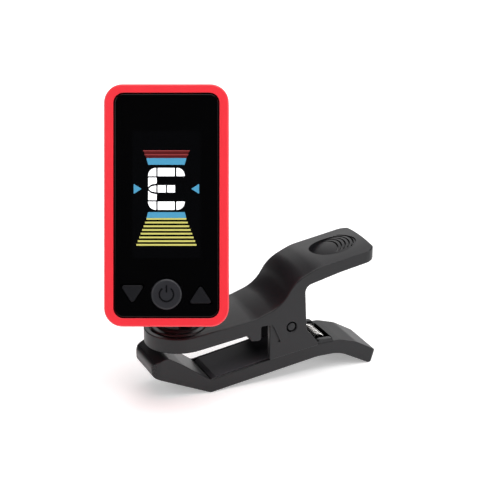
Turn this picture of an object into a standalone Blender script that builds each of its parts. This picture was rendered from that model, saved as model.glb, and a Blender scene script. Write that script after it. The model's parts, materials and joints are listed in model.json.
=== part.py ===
"""Clip-on tuner: a sprung clip, a turret and a tilting arm that carry a small electronic read-out head.

Metres, +Z up.  The clip lies along X with its nose at -X, and its lower jaw stands on Z = 0.
The read-out head is modelled in its own frame: x to the right, y up, z out of its face, with the
origin where its spin axis meets its back.  Lengths in this file are written in millimetres and
scaled once, by MM, when a mesh is made.
"""
from math import cos, pi, radians, sin, tan

import bmesh
import bpy
from mathutils import Euler, Matrix, Vector

MM = 0.001

# ---- driving dimensions, mm and degrees -----------------------------------------------------
GAP = 0.3                    # air between neighbouring pieces
ORIGIN_X = 8.9               # middle of the whole tuner, from the clip's front foot
ORIGIN_Y = 0.21

LOWER_WIDTH = 13.0
LOWER_LIP_X = -14.7          # tip of the curled lip
LOWER_TAIL_X = 43.9
RIM = 0.6                    # plastic left beside the grip pad
PAD_DEPTH = 1.5
PAD_FROM, PAD_TO = 0.4, 21.5
EAR_RADIUS = 3.0
EAR_WALL = 1.5

UPPER_WIDTH = 16.4
CHEEK = 1.4                  # thickness of each outer cheek
NOSE_X = -5.6                # turn axis of the turret
NOSE_TOP = 15.9
NOSE_UNDER = 12.2
SPOT_DEPTH = 0.5             # the turret's seat, sunk into the nose
LEVER_END_X = 42.5
REST_W, REST_H, DOME_R = 12.0, 9.2, 26.0    # the oval thumb rest and its domed floor
PIVOT_X, PIVOT_Z = 20.2, 14.2
PIN_R = 1.0

SPRING_X, SPRING_Z = 30.0, 7.05
SPRING_PIN_R = 0.55
COIL_R, WIRE_R = 1.2, 0.35
COIL_TURNS, COIL_PITCH = 6, 0.95
POCKET_FROM, POCKET_TO, POCKET_FLOOR = 26.3, 32.6, 5.2

TURRET_R = 6.6
TILT_Z = 20.8                # height of the tilt pin
HEAD_TURN = -23.4            # the head's heading about Z
HEAD_LEAN = 68.5             # 90 would be upright
ARM_SIDE, ARM_DROP, ARM_BACK = 2.05, 16.0, 3.9    # tilt pin seen from the spin axis
BARREL_R = 2.8
TILT_PIN_R = 1.1
SPIN_DISC_R = 6.0

HEAD_W, HEAD_H, HEAD_D = 28.2, 54.8, 12.0
HEAD_MID = 7.4               # middle of the head above the spin axis
HEAD_CORNER = 4.2
SHELL = 1.2
SPLIT = 5.2                  # where the front frame meets the rear cover
WINDOW_W, WINDOW_H, WINDOW_CORNER = 23.5, 50.6, 2.2
BEZEL = 1.0
BUTTON_Y = -12.7
BUTTON_SPREAD = 7.7
POWER_R = 3.5
TRIANGLE_W, TRIANGLE_H = 5.4, 4.1
DOOR_Y = 18.6
DOOR_R = 11.0
DOOR_TWIST = 40              # from locked to free
CELL_R, CELL_T = 10.0, 3.2
SCREW_X = 10.8
SCREW_YS = (-17.4, 32.2)
BOARD_LOW, BOARD_TOP = 6.0, 6.8

# ---- scene helpers --------------------------------------------------------------------------
for old in list(bpy.data.objects):
    bpy.data.objects.remove(old, do_unlink=True)
for old in list(bpy.data.collections):
    bpy.data.collections.remove(old)

tuner = bpy.data.collections.new("clip_on_tuner")
cutters = bpy.data.collections.new("cutters")
for group in (tuner, cutters):
    bpy.context.scene.collection.children.link(group)


def finish(name, colour, roughness, metallic=0.0):
    """A plain Principled material."""
    mat = bpy.data.materials.new(name)
    mat.use_nodes = True
    shader = mat.node_tree.nodes["Principled BSDF"]
    shader.inputs["Base Color"].default_value = (*colour, 1.0)
    shader.inputs["Roughness"].default_value = roughness
    shader.inputs["Metallic"].default_value = metallic
    return mat


def empty(name, place, turn=(0, 0, 0), parent=None):
    """A frame to hang pieces on: place in mm, turn in degrees."""
    obj = bpy.data.objects.new(name, None)
    tuner.objects.link(obj)
    obj.parent = parent
    obj.location = Vector(place) * MM
    obj.rotation_euler = Euler([radians(angle) for angle in turn])
    return obj


def new_object(name, mesh, parent, mat=None):
    """Link a mesh, as a piece when it has a material and as a cutter when it has none."""
    obj = bpy.data.objects.new(name, mesh)
    obj.parent = parent
    if mat is None:
        cutters.objects.link(obj)
        obj.hide_render = True
        obj.display_type = "WIRE"
    else:
        tuner.objects.link(obj)
        mesh.materials.clear()
        mesh.materials.append(mat)
    return obj


def rounded(corners, step=18.0):
    """Turn (x, y, radius) corners into an outline whose corners are arcs."""
    outline = []
    count = len(corners)
    for i, (x, y, radius) in enumerate(corners):
        here = Vector((x, y))
        if radius <= 0.0:
            outline.append(here)
            continue
        back = (Vector(corners[i - 1][:2]) - here).normalized()
        ahead = (Vector(corners[(i + 1) % count][:2]) - here).normalized()
        half = back.angle(ahead) / 2
        reach = radius / tan(half)
        centre = here + (back + ahead).normalized() * radius / sin(half)
        start = here + back * reach - centre
        sweep = start.angle_signed(here + ahead * reach - centre)
        arcs = max(1, round(abs(sweep) / radians(step)))
        for k in range(arcs + 1):
            outline.append(centre + Matrix.Rotation(-sweep * k / arcs, 2) @ start)
    return outline


def box_outline(width, height, corner, mid=(0.0, 0.0), step=30.0):
    """A rectangle with round corners about a middle point."""
    left, right = mid[0] - width / 2, mid[0] + width / 2
    low, high = mid[1] - height / 2, mid[1] + height / 2
    corners = [(left, low, corner), (right, low, corner), (right, high, corner), (left, high, corner)]
    return rounded(corners, step)


def circle(radius, mid=(0.0, 0.0), count=32):
    """Points of a circle."""
    return [Vector((mid[0] + radius * cos(2 * pi * k / count), mid[1] + radius * sin(2 * pi * k / count)))
            for k in range(count)]


def slab_mesh(name, outline, low, high):
    """A flat outline made thick along z, from a filled 2D curve."""
    curve = bpy.data.curves.new(name, "CURVE")
    curve.dimensions = "2D"
    curve.fill_mode = "BOTH"
    curve.extrude = (high - low) / 2 * MM
    spline = curve.splines.new("POLY")
    spline.points.add(len(outline) - 1)
    for point, xy in zip(spline.points, outline):
        point.co = (xy[0] * MM, xy[1] * MM, 0, 1)
    spline.use_cyclic_u = True
    holder = bpy.data.objects.new(name, curve)
    bpy.context.scene.collection.objects.link(holder)
    graph = bpy.context.evaluated_depsgraph_get()
    mesh = bpy.data.meshes.new_from_object(holder.evaluated_get(graph))
    bpy.data.objects.remove(holder)
    bpy.data.curves.remove(curve)
    mesh.transform(Matrix.Translation((0, 0, (high + low) / 2 * MM)))
    return welded(mesh, name)


def welded(mesh, name):
    """Join coincident points, make each flat one face, and turn the faces outwards."""
    shape = bmesh.new()
    shape.from_mesh(mesh)
    bmesh.ops.remove_doubles(shape, verts=shape.verts, dist=1e-6)
    bmesh.ops.dissolve_limit(shape, angle_limit=radians(0.2), verts=shape.verts, edges=shape.edges)
    bmesh.ops.recalc_face_normals(shape, faces=shape.faces)
    shape.to_mesh(mesh)
    shape.free()
    mesh.name = name
    return mesh


def slab(name, outline, low, high, parent=None, mat=None):
    """A plate in the frame's xy plane, from z = low to z = high."""
    return new_object(name, slab_mesh(name, outline, low, high), parent, mat)


def side_slab(name, outline, half_width, parent=None, mat=None, mid=0.0):
    """A side outline in x and z, made wide along y."""
    mesh = slab_mesh(name, outline, -half_width, half_width)
    mesh.transform(Matrix.Translation((0, mid * MM, 0)) @ Matrix.Rotation(pi / 2, 4, "X"))
    return new_object(name, mesh, parent, mat)


def turned(name, profile, parent=None, mat=None, steps=32, place=(0, 0, 0), tilt=(0, 0, 0)):
    """A turned shape: (radius, z) points from the top, down the outside, to the bottom."""
    mesh = bpy.data.meshes.new(name)
    points = [(radius * MM, 0, z * MM) for radius, z in profile]
    mesh.from_pydata(points, [(k, k + 1) for k in range(len(points) - 1)], [])
    holder = bpy.data.objects.new(name, mesh)
    bpy.context.scene.collection.objects.link(holder)
    screw = holder.modifiers.new("turn", "SCREW")
    screw.steps = screw.render_steps = steps
    screw.use_merge_vertices = True
    screw.merge_threshold = 1e-6
    graph = bpy.context.evaluated_depsgraph_get()
    solid = bpy.data.meshes.new_from_object(holder.evaluated_get(graph))
    bpy.data.objects.remove(holder)
    bpy.data.meshes.remove(mesh)
    turn = Euler([radians(angle) for angle in tilt]).to_matrix().to_4x4()
    solid.transform(Matrix.Translation(Vector(place) * MM) @ turn)
    return new_object(name, welded(solid, name), parent, mat)


def rod(name, radius, low, high, parent=None, mat=None, steps=24, place=(0, 0, 0), tilt=(0, 0, 0)):
    """A plain cylinder from low to high along its own axis."""
    profile = [(0, high), (radius, high), (radius, low), (0, low)]
    return turned(name, profile, parent, mat, steps, place, tilt)


def cross_rod(name, radius, reach, at, mat=None, steps=24):
    """A cylinder along Y through (x, z), reaching the same way to both sides."""
    return rod(name, radius, -reach, reach, clip, mat, steps, (at[0], 0, at[1]), (90, 0, 0))


def combine(obj, other, how="DIFFERENCE"):
    """Cut, join or intersect with another solid."""
    step = obj.modifiers.new(how.lower(), "BOOLEAN")
    step.operation = how
    step.solver = "EXACT"
    step.object = other
    return obj


def soften(obj, width, rule, segments=2):
    """Bevel the edges whose middle passes rule, before any Boolean."""
    mesh = obj.data
    weights = mesh.attributes.new("bevel_weight_edge", "FLOAT", "EDGE")
    for edge in mesh.edges:
        a, b = (mesh.vertices[index].co / MM for index in edge.vertices)
        weights.data[edge.index].value = 1.0 if rule(a, b) else 0.0
    bevel = obj.modifiers.new("soften", "BEVEL")
    bevel.limit_method = "WEIGHT"
    bevel.width = width * MM
    bevel.segments = segments
    return obj


def at_height(level):
    """A rule for soften: both ends of the edge lie at one height."""
    return lambda a, b: abs(a.z - level) < 0.01 and abs(b.z - level) < 0.01


# ---- finishes -------------------------------------------------------------------------------
BLACK = finish("clip_plastic", (0.045, 0.045, 0.05), 0.5)
RUBBER = finish("grip_rubber", (0.06, 0.057, 0.06), 0.75)
RED = finish("red_shell", (0.85, 0.045, 0.06), 0.35)
GLOSS = finish("window_black", (0.006, 0.006, 0.008), 0.08)
LCD = finish("lcd_glass", (0.05, 0.06, 0.07), 0.15)
MILKY = finish("milky_acrylic", (0.8, 0.82, 0.85), 0.3)
BOARD = finish("green_laminate", (0.02, 0.16, 0.06), 0.45)
CHIP = finish("chip_resin", (0.02, 0.02, 0.02), 0.6)
STEEL = finish("bright_steel", (0.62, 0.62, 0.63), 0.25, 1.0)
ZINC = finish("black_zinc", (0.07, 0.07, 0.075), 0.35, 1.0)
BRASS = finish("brass", (0.78, 0.6, 0.28), 0.3, 1.0)
KEY = finish("key_plastic", (0.07, 0.07, 0.075), 0.45)
WHITE = finish("switch_white", (0.75, 0.74, 0.7), 0.5)

# ---- frames ---------------------------------------------------------------------------------
clip = empty("clip_frame", (-ORIGIN_X, -ORIGIN_Y, 0))
jaw_axis = empty("jaw_axis", (PIVOT_X, 0, PIVOT_Z), parent=clip)
upper = empty("upper_frame", (-PIVOT_X, 0, -PIVOT_Z), parent=jaw_axis)
turn_axis = empty("turn_axis", (NOSE_X, 0, NOSE_TOP), (0, 0, HEAD_TURN), upper)
tilt_axis = empty("tilt_axis", (0, 0, TILT_Z - NOSE_TOP), (HEAD_LEAN, 0, 0), turn_axis)
head = empty("spin_axis", (-ARM_SIDE, ARM_DROP, ARM_BACK), parent=tilt_axis)
door_axis = empty("door_axis", (0, DOOR_Y, 0), parent=head)


# ---- clip, lower half -----------------------------------------------------------------------
def lower_top(x):
    """Height of the lower jaw's straight top under the grip."""
    return 3.3 + 0.165 * x


def lower_jaw():
    """Curled lip, pad tray, two inner ears for the pivot, and a tail with the spring's pocket."""
    side = rounded([
        (0.0, 0.0, 1.0), (28.0, 4.2, 9.0), (34.0, 4.2, 9.0), (41.9, 0.0, 0.4), (42.6, 0.0, 0.5),
        (LOWER_TAIL_X, 3.1, 0.5), (38.6, 6.2, 5.0), (34.0, 7.6, 4.0), (26.0, lower_top(26.0), 3.0),
        (0.0, lower_top(0.0), 1.2), (-7.0, 8.6, 3.5), (-11.0, 11.1, 1.8), (LOWER_LIP_X, 9.6, 1.6),
        (LOWER_LIP_X + 0.4, 6.3, 1.3)], 15)
    jaw = side_slab("lower_jaw", side, LOWER_WIDTH / 2, clip, BLACK)
    length = LOWER_TAIL_X - LOWER_LIP_X + 1.0
    plan = box_outline(length, LOWER_WIDTH, 2.4, (LOWER_LIP_X + length / 2 - 0.01, 0.0))
    combine(jaw, slab("lower_plan_cut", plan, -2, 14, clip), "INTERSECT")
    front, back = PAD_FROM - GAP, PAD_TO + GAP
    tray = [(front, lower_top(PAD_FROM) - PAD_DEPTH, 0), (back, lower_top(PAD_TO) - PAD_DEPTH, 0),
            (back, 12, 0), (front - 1.0, 12, 0), (front - 0.2, lower_top(0) + 0.4, 0)]
    combine(jaw, side_slab("pad_tray_cut", rounded(tray), LOWER_WIDTH / 2 - RIM, clip))
    inner = LOWER_WIDTH / 2 - 0.1 - EAR_WALL
    ear = rounded([(16.3, 5.2, 0), (25.6, 6.6, 0), (23.6, 11.0, 4.0), (23.0, 17.2, EAR_RADIUS - 0.2),
                   (17.2, 17.2, EAR_RADIUS - 0.2), (16.8, 11.0, 3.0)], 20)
    for sign, side_name in ((-1, "near"), (1, "far")):
        middle = sign * (inner + EAR_WALL / 2)
        combine(jaw, side_slab(f"ear_{side_name}", ear, EAR_WALL / 2, clip, mid=middle), "UNION")
        boss = rounded([(27.2, 5.6, 0), (33.4, 5.6, 0), (32.0, 8.4, 1.2), (28.0, 8.5, 1.2)])
        combine(jaw, side_slab(f"boss_{side_name}", boss, EAR_WALL / 2, clip, mid=middle), "UNION")
    pocket = rounded([(POCKET_FROM, POCKET_FLOOR, 0.6), (POCKET_TO, POCKET_FLOOR, 0.6), (POCKET_TO, 12, 0),
                      (POCKET_FROM, 12, 0)])
    combine(jaw, side_slab("spring_pocket_cut", pocket, inner - 0.1, clip))
    combine(jaw, cross_rod("ear_bore_cut", PIN_R + GAP, 8, (PIVOT_X, PIVOT_Z)))
    combine(jaw, cross_rod("spring_bore_cut", SPRING_PIN_R + GAP, inner + 0.9, (SPRING_X, SPRING_Z), steps=16))
    return jaw


def grip_pad():
    """The rubber pad in the lower jaw's tray, with a bevelled front."""
    floor = GAP - PAD_DEPTH
    side = rounded([(PAD_FROM, lower_top(PAD_FROM) + floor, 0), (PAD_TO, lower_top(PAD_TO) + floor, 0),
                    (PAD_TO, lower_top(PAD_TO) + 0.1, 0.4),
                    (PAD_FROM + 1.1, lower_top(PAD_FROM + 1.1) + 0.1, 0.5),
                    (PAD_FROM, lower_top(PAD_FROM) - 0.5, 0)])
    pad = side_slab("lower_jaw_pad", side, LOWER_WIDTH / 2 - RIM - GAP, clip, RUBBER)
    slot = box_outline(12.0, 2 * EAR_WALL, 0.0, (PAD_TO, 0.0))
    for sign, side_name in ((-1, "near"), (1, "far")):
        relief = slab(f"pad_relief_{side_name}", slot, 0, 16, clip)
        relief.location = (0, sign * (LOWER_WIDTH / 2 - 0.3) * MM, 0)
        combine(pad, relief)
    return pad


def torsion_spring():
    """A crosswise coil in the tail; its long leg lifts the upper jaw's tongue."""
    half = COIL_TURNS * COIL_PITCH / 2
    route = [Vector((22.9, half, 11.8)), Vector((26.3, half, 10.0))]
    steps = 12 * COIL_TURNS + 5
    for k in range(steps + 1):
        angle = radians(60 - 30 * k)
        across = half - k / steps * 2 * half
        route.append(Vector((SPRING_X + COIL_R * cos(angle), across, SPRING_Z + COIL_R * sin(angle))))
    route.append(route[-1] - Vector((2.0, 0, 0)))
    curve = bpy.data.curves.new("torsion_spring", "CURVE")
    curve.dimensions = "3D"
    curve.bevel_depth = WIRE_R * MM
    curve.bevel_resolution = 2
    curve.use_fill_caps = True
    spline = curve.splines.new("POLY")
    spline.points.add(len(route) - 1)
    for point, place in zip(spline.points, route):
        point.co = (*(place * MM), 1)
    spring = bpy.data.objects.new("torsion_spring", curve)
    spring.parent = clip
    curve.materials.append(STEEL)
    tuner.objects.link(spring)
    return spring


lower_jaw()
grip_pad()
torsion_spring()
cross_rod("jaw_pivot_pin", PIN_R, UPPER_WIDTH / 2 - 0.15, (PIVOT_X, PIVOT_Z), BLACK)
cross_rod("spring_pin", SPRING_PIN_R, LOWER_WIDTH / 2 - EAR_WALL + 0.6, (SPRING_X, SPRING_Z), STEEL, 16)


# ---- clip, upper half -----------------------------------------------------------------------
def upper_jaw():
    """Round nose, arm, cheeks outside the lower jaw's ears, and the thumb lever."""
    side = rounded([
        (-14.5, NOSE_UNDER, 0), (-4.5, NOSE_UNDER, 8.0), (9.2, 13.9, 0.6), (9.6, 12.3, 0.7),
        (12.3, 12.0, 0.8), (12.3, 15.6, 0.4), (14.5, 15.6, 0.3), (14.5, 6.5, 0.4), (27.9, 8.2, 0.6),
        (24.2, 12.8, 1.5), (23.7, 24.0, 2.0), (33.0, 26.2, 9.0), (41.9, 27.8, 0.8),
        (LEVER_END_X + 0.1, 28.9, 0.6), (LEVER_END_X - 0.1, 31.4, 0.5), (27.0, 29.0, 12.0), (21.0, 26.4, 9.0),
        (17.6, 20.8, 9.0), (10.5, 18.3, 12.0), (-5.0, NOSE_TOP, 6.0), (-14.5, NOSE_TOP, 0)], 12)
    jaw = side_slab("upper_jaw", side, UPPER_WIDTH / 2, upper, BLACK)
    nose = UPPER_WIDTH / 2
    plan = rounded([(NOSE_X - nose, -nose, nose - 0.01), (LEVER_END_X, -nose, 2.2), (LEVER_END_X, nose, 2.2),
                    (NOSE_X - nose, nose, nose - 0.01)], 9)
    combine(jaw, slab("upper_plan_cut", plan, 2, 40, upper), "INTERSECT")
    cheek_gap = UPPER_WIDTH / 2 - CHEEK
    hollow = rounded([(13.9, 4.0, 0), (30.0, 4.0, 0), (30.0, 17.8, 0), (20.2, 17.8, 2.4),
                      (16.4, 16.6, 2.0), (13.9, 15.9, 0)])
    combine(jaw, side_slab("cheek_hollow_cut", hollow, cheek_gap, upper))
    tongue = rounded([(22.0, 12.6, 0.5), (24.0, 12.6, 0.5), (24.0, 19.5, 0), (22.0, 19.5, 0)])
    combine(jaw, side_slab("spring_tongue", tongue, 4.0, upper), "UNION")
    combine(jaw, cross_rod("cheek_bore_cut", PIN_R + GAP, 10, (PIVOT_X, PIVOT_Z)))
    combine(jaw, rod("spot_face_cut", TURRET_R + GAP, -SPOT_DEPTH, 6.0, turn_axis, steps=36))
    combine(jaw, rod("spigot_bore_cut", 2.6 + GAP, -6.0, 1.0, turn_axis, steps=22))
    combine(jaw, rod("washer_seat_cut", 4.9, -5.2, NOSE_UNDER + 1.5 - NOSE_TOP, turn_axis))
    tray = box_outline(7.6, 12.6, 0.8, (4.6, 0.0))
    combine(jaw, slab("upper_tray_cut", tray, 10.5, 14.0, upper))
    oval = [(REST_W / 2 * x - 0.9, REST_H / 2 * y - 0.5) for x, y in circle(1.0, count=24)]
    dish = slab("thumb_rest_cut", oval, -1.9, 3.0, upper)
    dish.location = Vector((35.3, 0, 30.29)) * MM
    dish.rotation_euler = (0, radians(-8.86), 0)
    profile = [(DOME_R * sin(radians(4 * k)), DOME_R * (cos(radians(4 * k)) - 1)) for k in range(7)]
    dome = turned("thumb_dome", profile + [(profile[-1][0], -4.0), (0, -4.0)], dish, place=(2.6, 1.2, 0))
    combine(dish, dome)
    combine(jaw, dish)
    return jaw


def upper_pad():
    """A thin rubber pad set into the arm's underside."""
    pad = slab("upper_jaw_pad", box_outline(7.0, 12.0, 0.6, (4.6, 0.0)), 12.5, 13.7, upper, RUBBER)
    return pad


upper_jaw()
upper_pad()


# ---- turret and tilting arm -----------------------------------------------------------------
UPRIGHT = Matrix(((0, 0, 1, 0), (1, 0, 0, 0), (0, 1, 0, 0), (0, 0, 0, 1)))    # x, y, z to y, z, x


def turret():
    """A turning base with one ear beside the arm, and a spigot down through the nose."""
    seat = GAP - SPOT_DEPTH
    profile = [(0, 0.9), (4.3, 0.9), (5.1, 0.7), (5.3, 0.35), (6.3, 0.35), (TURRET_R, 0.1), (TURRET_R, seat),
               (2.6, seat), (2.6, -2.2), (0, -2.2)]
    base = turned("swivel_turret", profile, turn_axis, BLACK, 36)
    height = TILT_Z - NOSE_TOP
    ear = rounded([(-BARREL_R, 0.5, 0), (BARREL_R, 0.5, 0), (BARREL_R, height + BARREL_R, BARREL_R - 0.01),
                   (-BARREL_R, height + BARREL_R, BARREL_R - 0.01)], 15)
    mesh = slab_mesh("turret_ear", ear, 0.12, 3.6)
    mesh.transform(UPRIGHT)
    combine(base, new_object("turret_ear", mesh, turn_axis), "UNION")
    bore = rod("turret_pin_cut", TILT_PIN_R + GAP, -6, 6, turn_axis, place=(0, 0, height), tilt=(0, 90, 0))
    combine(base, bore)
    combine(base, rod("turret_screw_cut", 0.9 + GAP, -4, 0.4, turn_axis, steps=16))
    return base


def tilt_arm():
    """A barrel on the tilt pin, a cranked bar and the disc that the head spins on."""
    disc = rod("tilt_arm", SPIN_DISC_R, -1.9, -GAP, head, BLACK, 40)
    bar = rounded([(-ARM_DROP - BARREL_R, -ARM_BACK - BARREL_R, BARREL_R - 0.01),
                   (-ARM_DROP + 3.0, -ARM_BACK - BARREL_R, 4.0), (4.4, -3.2, 0.8), (4.4, -1.6, 0),
                   (-5.6, -1.6, 0), (-6.6, BARREL_R - ARM_BACK, 0.4),
                   (-ARM_DROP - BARREL_R, BARREL_R - ARM_BACK, BARREL_R - 0.01)], 15)
    mesh = slab_mesh("arm_bar", bar, -1.85, 1.85)
    mesh.transform(UPRIGHT)
    combine(disc, new_object("arm_bar", mesh, head), "UNION")
    combine(disc, rod("arm_pin_cut", TILT_PIN_R + GAP, -6, 6, tilt_axis, tilt=(0, 90, 0)))
    combine(disc, rod("arm_screw_cut", 1.5 + GAP, -4.4, 1, head))
    combine(disc, rod("arm_screw_seat_cut", 2.8 + GAP, -8, -2.2, head))
    return disc


def cap_screw(name, head_r, head_low, head_high, shank_r, shank_end, parent, place=(0, 0, 0), slot=0.0):
    """A screw along z: a head from head_low to head_high and a shank up to shank_end."""
    profile = [(0, shank_end), (shank_r, shank_end), (shank_r, head_high), (head_r - 0.1, head_high),
               (head_r, head_high - 0.15), (head_r, head_low + 0.2), (head_r - 0.25, head_low),
               (0, head_low)]
    screw = turned(name, profile, parent, ZINC, 16, place)
    if slot > 0.0:
        for k in range(2):
            bar = box_outline(*((slot * 2, 0.4), (0.4, slot * 2))[k], 0.0, place[:2])
            cut = slab(f"{name}_cross_{k}", bar, head_low - 1 + place[2], head_low + 0.45 + place[2], parent)
            combine(screw, cut)
    return screw


turret()
tilt_arm()
cap_screw("turret_screw", 2.3, -3.65, -3.05, 0.9, 0.1, turn_axis, slot=1.3)
washer = [(1.3, -2.5), (4.5, -2.5), (4.5, -2.75), (1.3, -2.75), (1.3, -2.5)]
turned("turret_washer", washer, turn_axis, STEEL)
turned("tilt_pin", [(0, 4.0), (TILT_PIN_R - 0.2, 4.0), (TILT_PIN_R, 3.8), (TILT_PIN_R, -4.2), (1.9, -4.2),
                    (1.9, -4.8), (1.6, -5.0), (0, -5.0)], turn_axis, STEEL, 24,
       (0, 0, TILT_Z - NOSE_TOP), (0, 90, 0))


# ---- read-out head, shells and window -------------------------------------------------------
MID = (0.0, HEAD_MID)
ARROWS = (("down_button", -BUTTON_SPREAD, False), ("up_button", BUTTON_SPREAD, True))


def front_frame():
    """The red front frame: side walls, a narrow bezel and four screw bosses."""
    outer = box_outline(HEAD_W, HEAD_H, HEAD_CORNER, MID, 15)
    frame = slab("front_frame", outer, SPLIT + GAP / 2, HEAD_D, head, RED)
    soften(frame, 0.9, at_height(HEAD_D))
    inner = box_outline(HEAD_W - 2 * SHELL, HEAD_H - 2 * SHELL, HEAD_CORNER - SHELL, MID)
    combine(frame, slab("frame_inner_cut", inner, 0, HEAD_D - BEZEL, head))
    opening = box_outline(WINDOW_W, WINDOW_H, WINDOW_CORNER, MID)
    combine(frame, slab("frame_opening_cut", opening, 8, 14, head))
    for number, (x, y) in enumerate(screw_places(), 1):
        post = rod(f"frame_boss_{number}", 2.1, SPLIT + 0.4, 9.6, head, steps=14, place=(x, y, 0))
        combine(frame, post, "UNION")
        combine(frame, rod(f"frame_boss_bore_{number}", 1.0, 3, 8.8, head, steps=10, place=(x, y, 0)))
    return frame


def screw_places():
    """The four housing screws."""
    return [(x, y) for y in SCREW_YS for x in (-SCREW_X, SCREW_X)]


def rear_cover():
    """The red back, with the battery opening, the spin pivot's hole and the screw seats."""
    outer = box_outline(HEAD_W, HEAD_H, HEAD_CORNER, MID, 15)
    cover = slab("rear_cover", outer, 0, SPLIT - GAP / 2, head, RED)
    soften(cover, 1.0, at_height(0.0))
    inner = box_outline(HEAD_W - 2 * SHELL, HEAD_H - 2 * SHELL, HEAD_CORNER - SHELL, MID)
    combine(cover, slab("cover_inner_cut", inner, SHELL, 9, head))
    combine(cover, rod("door_hole_cut", DOOR_R + GAP, -1, 3, door_axis, steps=36))
    for k in range(3):
        cut = slab(f"door_notch_{k}", box_outline(3.4, 1.8, 0.3), -1, 3, door_axis)
        cut.location = Vector((*spoke(120 * k + 90, DOOR_R + 0.2), 0)) * MM
        cut.rotation_euler = (0, 0, radians(120 * k))
        combine(cover, cut)
    combine(cover, rod("pivot_hole_cut", 1.5 + GAP, -1, 3, head))
    for number, (x, y) in enumerate(screw_places(), 1):
        post = rod(f"cover_boss_{number}", 2.1, 0.7, SPLIT - 0.4, head, steps=16, place=(x, y, 0))
        combine(cover, post, "UNION")
        combine(cover, rod(f"cover_bore_{number}", 1.0, -1, 8, head, steps=10, place=(x, y, 0)))
        combine(cover, rod(f"cover_seat_{number}", 1.5, -1.2, 1.05, head, steps=14, place=(x, y, 0)))
    return cover


def spoke(angle, radius):
    """A point on a circle, angle in degrees."""
    return radius * cos(radians(angle)), radius * sin(radians(angle))


def triangle(width, height, corner, up):
    """A key's outline, pointing up or down."""
    tip = height / 2 if up else -height / 2
    corners = [(-width / 2, -tip, corner), (width / 2, -tip, corner), (0, tip, corner)]
    return rounded(corners if up else corners[::-1], 40)


def display_window():
    """The black window: a stepped lens with a hole for each key."""
    lens = slab("display_window", box_outline(24.8, 51.2, 2.6, MID), 10.1, 10.7, head, GLOSS)
    face = box_outline(WINDOW_W - 0.4, WINDOW_H - 0.4, WINDOW_CORNER - 0.2, MID)
    combine(lens, slab("window_face", face, 10.5, HEAD_D - GAP, head), "UNION")
    back = box_outline(21.4, 40.0, 0.6, (0.0, HEAD_MID + 3.4))
    combine(lens, slab("window_back_cut", back, 9, 10.7, head))
    combine(lens, rod("power_hole_cut", POWER_R + 0.25, 8, 14, head, steps=32, place=(0, BUTTON_Y, 0)))
    for name, x, up in ARROWS:
        hole = slab(f"{name}_hole_cut", triangle(TRIANGLE_W + 1.1, TRIANGLE_H + 0.85, 0.5, up), 8, 14, head)
        hole.location = Vector((x, BUTTON_Y, 0)) * MM
        combine(lens, hole)
    for number, (x, y) in enumerate(screw_places(), 1):
        combine(lens, rod(f"window_relief_{number}", 2.3, 9, 10.6, head, steps=16, place=(x, y, 0)))
    return lens


def keys():
    """The round power key and the two arrow keys, each with a flange behind the window."""
    profile = [(0, 11.9), (POWER_R - 0.4, 11.9), (POWER_R, 11.6), (POWER_R, 9.8), (POWER_R + 0.7, 9.8),
               (POWER_R + 0.7, 9.3), (1.4, 9.3), (1.4, 8.4), (0, 8.4)]
    turned("power_button", profile, empty("power_axis", (0, BUTTON_Y, 0), parent=head), KEY, 32)
    for name, x, up in ARROWS:
        axis = empty(f"{name}_axis", (x, BUTTON_Y, 0), parent=head)
        key = slab(name, triangle(TRIANGLE_W, TRIANGLE_H, 0.4, up), 9.5, 11.9, axis, KEY)
        flange = triangle(TRIANGLE_W + 1.2, TRIANGLE_H + 0.9, 0.5, up)
        combine(key, slab(f"{name}_flange", flange, 9.3, 9.8, axis), "UNION")
        combine(key, rod(f"{name}_stem", 0.9, 8.4, 9.6, axis, steps=12), "UNION")


front_frame()
rear_cover()
display_window()
keys()


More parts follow.
